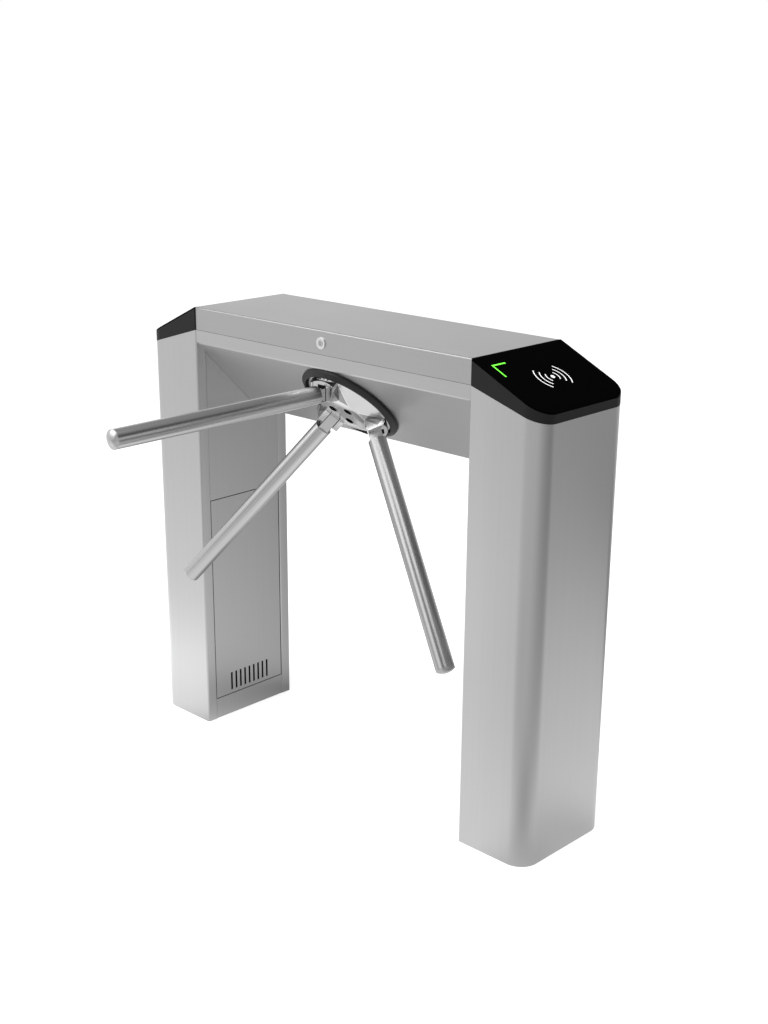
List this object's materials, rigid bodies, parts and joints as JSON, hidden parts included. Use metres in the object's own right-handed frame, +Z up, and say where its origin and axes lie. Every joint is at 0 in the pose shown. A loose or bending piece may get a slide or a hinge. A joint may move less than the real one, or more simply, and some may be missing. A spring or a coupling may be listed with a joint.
{
  "type": "tripod turnstile",
  "caption": "Bridge-type tripod turnstile: stainless posts and beam with a slanted hub, folding top arm, hinged lid, service doors and sloped reader caps.",
  "frame": {"origin": "on the floor, midway between the posts and midway through their depth", "axes": "+X along the bridge, -Y towards the tripod's arms, +Z up"},
  "size_m": [1.12, 0.7895, 0.99],
  "materials": {
    "brushed_sheet": "fine satin stainless sheet",
    "black_plastic": "fine satin moulding",
    "black_glass": "high gloss",
    "green_light": "lit light guide",
    "white_mark": "printed white",
    "board_green": "solder mask",
    "hinge_steel": "satin",
    "lock_chrome": "polished",
    "collar_grey": "satin dark grey",
    "hub_metal": "polished casting",
    "dark_steel": "blackened steel",
    "arm_metal": "polished satin tube",
    "galvanised": "zinc plated sheet",
    "machined_steel": "turned steel",
    "cast_housing": "machined casting",
    "pawl_brass": "brass",
    "device_black": "moulded",
    "device_grey": "powder coated",
    "cable_black": "cable sheath"
  },
  "bodies": {
    "cabinet": {"left_post_shell": "brushed_sheet", "right_post_shell": "brushed_sheet", "left_inner_panel": "brushed_sheet", "right_inner_panel": "brushed_sheet", "left_base_plate": "galvanised", "right_base_plate": "galvanised", "door_pivots": "hinge_steel", "door_catches": "device_black", "left_cap": "black_plastic", "right_cap": "black_plastic", "left_reader_panel": "black_glass", "right_reader_panel": "black_glass", "reader_boards": "board_green", "arrow_lights": "green_light", "reader_icons": "white_mark", "beam_shell": "brushed_sheet", "lid_hinge_lower_leaves": "hinge_steel", "lid_hinge_pins": "hinge_steel", "hub_collar": "collar_grey", "mechanism_plate": "galvanised", "plate_studs": "dark_steel", "bearing_housing": "cast_housing", "bearing_outer_races": "machined_steel", "position_sensor": "device_black", "gear_motor": "device_black", "pawl_posts": "dark_steel", "solenoids": "device_black", "equipment_tray": "galvanised", "power_supply": "device_grey", "control_box": "device_grey", "cable_harness": "cable_black"},
    "tripod": {"hub": "hub_metal", "hub_screws": "dark_steel", "arm_pins": "dark_steel", "main_shaft": "machined_steel", "bearing_inner_races": "machined_steel", "lock_disc": "machined_steel", "sensor_disc": "device_black", "main_gear": "machined_steel", "arm_2_tube": "arm_metal", "arm_2_knuckle": "hub_metal", "arm_2_end_cap": "arm_metal", "arm_3_tube": "arm_metal", "arm_3_knuckle": "hub_metal", "arm_3_end_cap": "arm_metal"},
    "arm_1": {"arm_1_tube": "arm_metal", "arm_1_knuckle": "hub_metal", "arm_1_end_cap": "arm_metal"},
    "lid_body": {"lid": "brushed_sheet", "lid_hinge_upper_leaves": "hinge_steel", "lock_body": "lock_chrome"},
    "lid_key": {"lock_plug": "lock_chrome", "lock_cam": "dark_steel"},
    "left_door": {"left_service_door": "brushed_sheet"},
    "right_door": {"right_service_door": "brushed_sheet"},
    "pinion": {"motor_pinion": "machined_steel"},
    "upper_pawl_body": {"upper_pawl": "pawl_brass"},
    "lower_pawl_body": {"lower_pawl": "pawl_brass"},
    "upper_plunger_body": {"upper_plunger": "machined_steel"},
    "lower_plunger_body": {"lower_plunger": "machined_steel"}
  },
  "joints": [
    {"name": "tripod_spin", "type": "hinge", "parent": "cabinet", "child": "tripod", "pos_m": [0, -0.04754, 0.82954], "axis": [0, -0.7071, -0.7071], "continuous": true},
    {"name": "arm_1_drop", "type": "hinge", "parent": "tripod", "child": "arm_1", "pos_m": [0, -0.11754, 0.86064], "axis": [1, 0, 0], "range_deg": [0, 90]},
    {"name": "lid_open", "type": "hinge", "parent": "cabinet", "child": "lid_body", "pos_m": [0, 0.1335, 0.94], "axis": [-1, 0, 0], "range_deg": [0, 95]},
    {"name": "lock_turn", "type": "hinge", "parent": "lid_body", "child": "lid_key", "pos_m": [0, -0.13, 0.964], "axis": [0, 1, 0], "range_deg": [0, 90]},
    {"name": "left_door_open", "type": "hinge", "parent": "cabinet", "child": "left_door", "pos_m": [-0.3975, 0.0907, 0.05], "axis": [0, 0, 1], "range_deg": [0, 110]},
    {"name": "right_door_open", "type": "hinge", "parent": "cabinet", "child": "right_door", "pos_m": [0.3975, 0.0907, 0.05], "axis": [0, 0, -1], "range_deg": [0, 110]},
    {"name": "pinion_spin", "type": "hinge", "parent": "cabinet", "child": "pinion", "pos_m": [0.08, 0.03661, 0.91368], "axis": [0, -0.7071, -0.7071], "continuous": true},
    {"name": "upper_pawl_turn", "type": "hinge", "parent": "cabinet", "child": "upper_pawl_body", "pos_m": [-0.03898, -0.01339, 0.93116], "axis": [0, -0.7071, -0.7071], "range_deg": [0, 10]},
    {"name": "lower_pawl_turn", "type": "hinge", "parent": "cabinet", "child": "lower_pawl_body", "pos_m": [-0.03898, 0.05409, 0.86368], "axis": [0, 0.7071, 0.7071], "range_deg": [0, 10]},
    {"name": "upper_plunger_slide", "type": "slide", "parent": "cabinet", "child": "upper_plunger_body", "axis": [0.9659, 0.183, -0.183], "range_m": [0, 0.0044]},
    {"name": "lower_plunger_slide", "type": "slide", "parent": "cabinet", "child": "lower_plunger_body", "axis": [0.9659, -0.183, 0.183], "range_m": [0, 0.0044]}
  ],
  "couplings": [
    {"joint": "pinion_spin", "follows": "tripod_spin", "ratio": -3},
    {"joint": "upper_plunger_slide", "follows": "upper_pawl_turn", "m_per_rad": 0.024},
    {"joint": "lower_plunger_slide", "follows": "lower_pawl_turn", "m_per_rad": 0.024}
  ]
}
